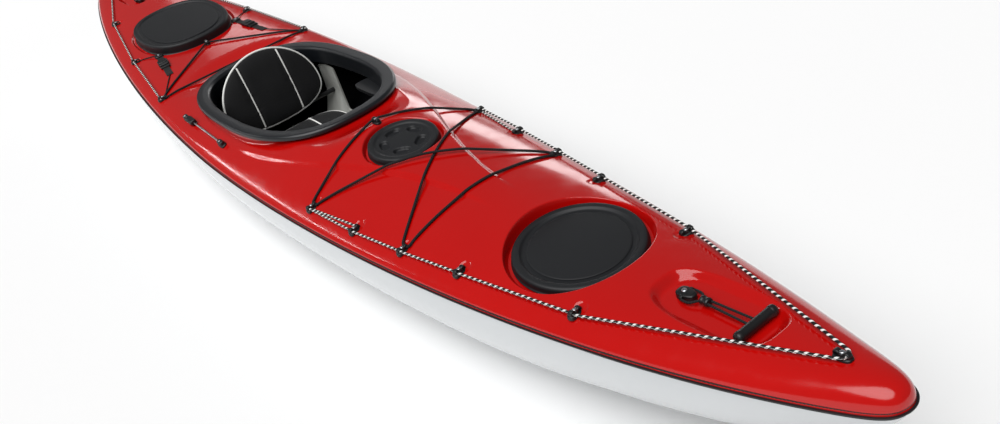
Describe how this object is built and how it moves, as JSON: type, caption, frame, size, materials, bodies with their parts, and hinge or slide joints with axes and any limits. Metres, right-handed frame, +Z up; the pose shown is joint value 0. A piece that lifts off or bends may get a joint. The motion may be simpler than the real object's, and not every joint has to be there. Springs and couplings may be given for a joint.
{
  "type": "sea kayak",
  "caption": "Hard-shell touring kayak with a padded cockpit seat, sealed hatches, deck lines and bungees, grab toggles, sliding foot pedals and a drop-down skeg.",
  "frame": {"origin": "on the floor under the keel, at half the overall length, on the centreline", "axes": "+X to the bow, +Y to port, +Z up"},
  "size_m": [3.665, 0.6146, 0.3877],
  "materials": {
    "deck_red": "gloss",
    "hull_white": "gloss",
    "trim_black": "satin",
    "coaming_charcoal": "satin",
    "hatch_rubber": "matte",
    "plastic_black": "satin",
    "seat_grey": "satin",
    "seat_fabric": "woven",
    "deck_line": "braided",
    "bungee_black": "braided",
    "webbing": "woven",
    "steel": "brushed"
  },
  "bodies": {
    "root": {"hull_shell": "hull_white", "deck_shell": "deck_red", "seam_trim": "trim_black", "coaming": "coaming_charcoal", "bow_bulkhead": "plastic_black", "stern_bulkhead": "plastic_black", "bow_hatch_rim": "plastic_black", "stern_hatch_rim": "plastic_black", "day_hatch_rim": "plastic_black", "day_pod": "plastic_black", "deck_fitting_a_port": "plastic_black", "deck_fitting_b_port": "plastic_black", "deck_fitting_c_port": "plastic_black", "deck_fitting_d_port": "plastic_black", "deck_fitting_e_port": "plastic_black", "deck_fitting_g_port": "plastic_black", "deck_fitting_h_port": "plastic_black", "deck_fitting_i_port": "plastic_black", "deck_fitting_a_starboard": "plastic_black", "deck_fitting_b_starboard": "plastic_black", "deck_fitting_c_starboard": "plastic_black", "deck_fitting_d_starboard": "plastic_black", "deck_fitting_e_starboard": "plastic_black", "deck_fitting_g_starboard": "plastic_black", "deck_fitting_h_starboard": "plastic_black", "deck_fitting_i_starboard": "plastic_black", "deck_fitting_bow": "plastic_black", "deck_fitting_stern": "plastic_black", "bungee_anchor_bow": "plastic_black", "bungee_anchor_stern": "plastic_black", "bow_deck_line": "deck_line", "stern_deck_line": "deck_line", "bow_bungee": "bungee_black", "stern_bungee": "bungee_black", "bow_toggle_anchor": "plastic_black", "stern_toggle_anchor": "plastic_black", "seat_pan": "seat_grey", "seat_cushion": "seat_fabric", "thigh_brace_port": "plastic_black", "thigh_brace_starboard": "plastic_black", "foot_rail_port": "plastic_black", "foot_rail_starboard": "plastic_black", "skeg_box": "plastic_black", "skeg_cable": "plastic_black", "skeg_slider_track": "steel", "hatch_strap_port": "webbing", "hatch_strap_starboard": "webbing"},
    "bow_cover": {"bow_hatch_cover": "hatch_rubber"},
    "stern_cover": {"stern_hatch_cover": "hatch_rubber"},
    "day_cover": {"day_hatch_cover": "hatch_rubber"},
    "backrest": {"backrest_frame": "plastic_black", "backrest_cushion": "seat_fabric"},
    "pedal_port": {"foot_pedal_port": "plastic_black"},
    "pedal_starboard": {"foot_pedal_starboard": "plastic_black"},
    "knob": {"skeg_knob": "plastic_black"},
    "skeg": {"skeg_blade": "plastic_black"},
    "bow_toggle": {"bow_toggle_handle": "plastic_black", "bow_toggle_cord": "deck_line"},
    "stern_toggle": {"stern_toggle_handle": "plastic_black", "stern_toggle_cord": "deck_line"}
  },
  "joints": [
    {"name": "bow_cover_lift", "type": "slide", "parent": "root", "child": "bow_cover", "axis": [0, 0, 1], "range_m": [0, 0.12]},
    {"name": "stern_cover_lift", "type": "slide", "parent": "root", "child": "stern_cover", "axis": [0.045, 0, 0.999], "range_m": [0, 0.12]},
    {"name": "day_cover_lift", "type": "slide", "parent": "root", "child": "day_cover", "axis": [0.06, 0, 0.9982], "range_m": [0, 0.12]},
    {"name": "backrest_fold", "type": "hinge", "parent": "root", "child": "backrest", "pos_m": [-0.27102, 0, 0.11594], "axis": [0, 1, 0], "range_deg": [0, 75]},
    {"name": "pedal_port_slide", "type": "slide", "parent": "root", "child": "pedal_port", "axis": [0.9941, -0.1087, 0], "range_m": [-0.1, 0.15]},
    {"name": "pedal_starboard_slide", "type": "slide", "parent": "root", "child": "pedal_starboard", "axis": [0.9941, 0.1087, 0], "range_m": [-0.1, 0.15]},
    {"name": "knob_slide", "type": "slide", "parent": "root", "child": "knob", "axis": [0.9998, 0, 0.02], "range_m": [0, 0.12]},
    {"name": "skeg_drop", "type": "hinge", "parent": "root", "child": "skeg", "pos_m": [-1.13005, 0, 0.076], "axis": [0, -1, 0], "range_deg": [0, 50.5]},
    {"name": "bow_toggle_lift", "type": "hinge", "parent": "root", "child": "bow_toggle", "pos_m": [1.43161, 0, 0.32737], "axis": [0, -1, 0], "range_deg": [0, 110]},
    {"name": "stern_toggle_lift", "type": "hinge", "parent": "root", "child": "stern_toggle", "pos_m": [-1.41464, 0, 0.27079], "axis": [0, 1, 0], "range_deg": [0, 110]}
  ],
  "couplings": [
    {"joint": "skeg_drop", "follows": "knob_slide", "rad_per_m": 7.27}
  ]
}
